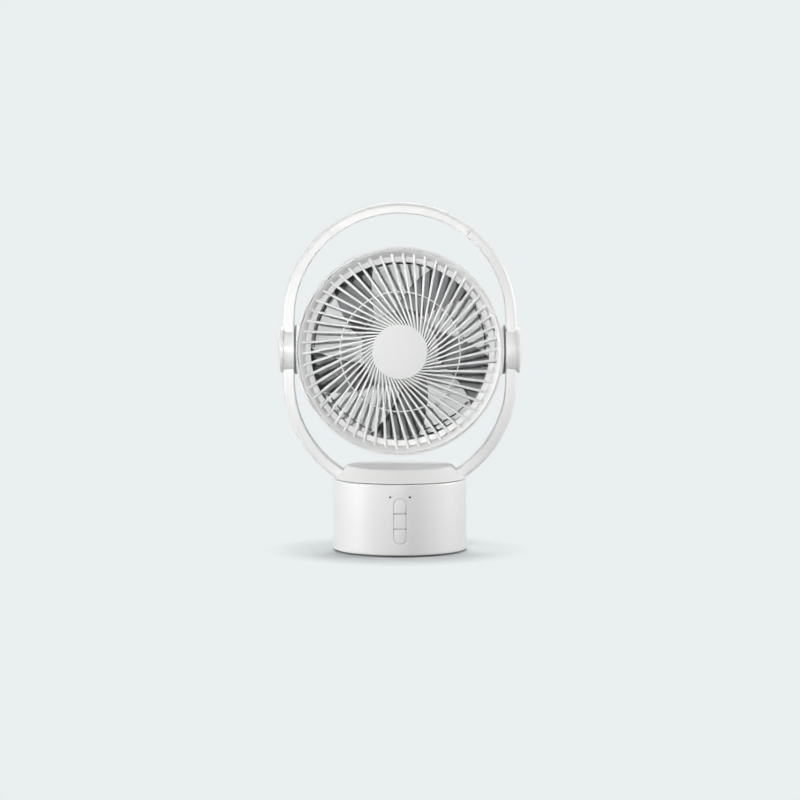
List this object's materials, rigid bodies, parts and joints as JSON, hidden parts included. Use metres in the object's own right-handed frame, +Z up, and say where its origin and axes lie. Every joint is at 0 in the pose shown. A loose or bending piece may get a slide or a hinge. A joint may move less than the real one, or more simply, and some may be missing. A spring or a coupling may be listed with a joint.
{
  "type": "rechargeable table fan",
  "caption": "White rechargeable table fan: a round head tilts inside a ring handle with a lamp arc, on a swinging turntable over a drum-shaped base with push buttons.",
  "frame": {"origin": "on the floor under the middle of the base", "axes": "+Z up, -Y to the front where the fan blows, X along the tilt axis"},
  "size_m": [0.2434, 0.133, 0.3481],
  "materials": {
    "white_plastic": "satin white moulding",
    "rear_plastic": "fine matt grey moulding",
    "hub_plastic": "matt pale grey",
    "diffuser_plastic": "milky translucent",
    "blade_plastic": "satin pale grey moulding",
    "pad_rubber": "matt dark grey",
    "foot_rubber": "matt black",
    "screw_steel": "zinc plated",
    "spring_steel": "black oxide",
    "shaft_steel": "ground",
    "black_plastic": "matt black moulding",
    "cell_sleeve": "blue shrink sleeve",
    "circuit_board": "green solder mask",
    "led_package": "yellow phosphor in a white package",
    "smoked_lens": "dark translucent",
    "plated_steel": "nickel plated",
    "acetal": "natural acetal",
    "core_steel": "stacked laminations",
    "copper_wire": "enamelled copper",
    "bearing_bronze": "oiled sintered bronze",
    "ferrite": "dull grey ferrite"
  },
  "bodies": {
    "base": {"base_shell": "white_plastic", "base_bottom": "rear_plastic", "rubber_feet": "foot_rubber", "case_screws": "screw_steel", "battery_tray": "black_plastic", "battery_cells": "cell_sleeve", "control_board": "circuit_board", "button_switches": "black_plastic", "indicator_leds": "led_package", "indicator_lenses": "smoked_lens", "charge_board": "circuit_board", "charge_socket": "plated_steel", "swing_motor": "plated_steel", "motor_screws": "screw_steel", "thrust_washer": "acetal"},
    "swing_drive": {"swing_shaft": "shaft_steel", "swing_pinion": "acetal"},
    "turntable": {"turntable_plate": "black_plastic", "swing_gear": "acetal", "spindle_clip": "spring_steel", "turntable_cover": "white_plastic", "cover_screws": "screw_steel", "ring_front_left": "white_plastic", "ring_front_right": "white_plastic", "ring_rear": "white_plastic", "ring_screws": "screw_steel", "arm_screws": "screw_steel", "lamp_diffuser": "diffuser_plastic", "lamp_board": "circuit_board", "lamp_leds": "led_package", "pivot_caps": "white_plastic"},
    "head": {"head_shell": "white_plastic", "front_grille": "white_plastic", "hub_cap": "hub_plastic", "rear_guard": "rear_plastic", "guard_screws": "screw_steel", "friction_washers": "pad_rubber", "trunnion_right": "acetal", "trunnion_left": "acetal", "trunnion_screws": "screw_steel", "pivot_washers": "screw_steel", "pivot_screws": "screw_steel", "stator_core": "core_steel", "stator_windings": "copper_wire", "motor_board": "circuit_board", "motor_bearings": "bearing_bronze"},
    "rotor": {"impeller": "blade_plastic", "impeller_cap": "rear_plastic", "rotor_cup": "plated_steel", "rotor_magnet": "ferrite", "motor_shaft": "shaft_steel", "shaft_clip": "spring_steel"},
    "top_button": {"fan_button": "white_plastic"},
    "middle_button": {"swing_button": "white_plastic"},
    "bottom_button": {"light_button": "white_plastic"}
  },
  "joints": [
    {"name": "swing", "type": "hinge", "parent": "base", "child": "turntable", "pos_m": [0, 0, 0], "axis": [0, 0, 1], "range_deg": [-45, 45]},
    {"name": "pinion_spin", "type": "hinge", "parent": "base", "child": "swing_drive", "pos_m": [0, 0.0376, 0], "axis": [0, 0, 1], "range_deg": [-191, 191]},
    {"name": "head_tilt", "type": "hinge", "parent": "turntable", "child": "head", "pos_m": [0, 0, 0.20111], "axis": [1, 0, 0], "range_deg": [-90, 90]},
    {"name": "impeller_spin", "type": "hinge", "parent": "head", "child": "rotor", "pos_m": [0, 0, 0.20111], "axis": [0, 1, 0], "continuous": true},
    {"name": "top_press", "type": "slide", "parent": "base", "child": "top_button", "axis": [0, 1, 0], "range_m": [0, 0.0005], "stiffness_N_per_m": 1000},
    {"name": "middle_press", "type": "slide", "parent": "base", "child": "middle_button", "axis": [0, 1, 0], "range_m": [0, 0.0005], "stiffness_N_per_m": 1000},
    {"name": "bottom_press", "type": "slide", "parent": "base", "child": "bottom_button", "axis": [0, 1, 0], "range_m": [0, 0.0005], "stiffness_N_per_m": 1000}
  ],
  "couplings": [
    {"joint": "pinion_spin", "follows": "swing", "ratio": -4.2222}
  ]
}
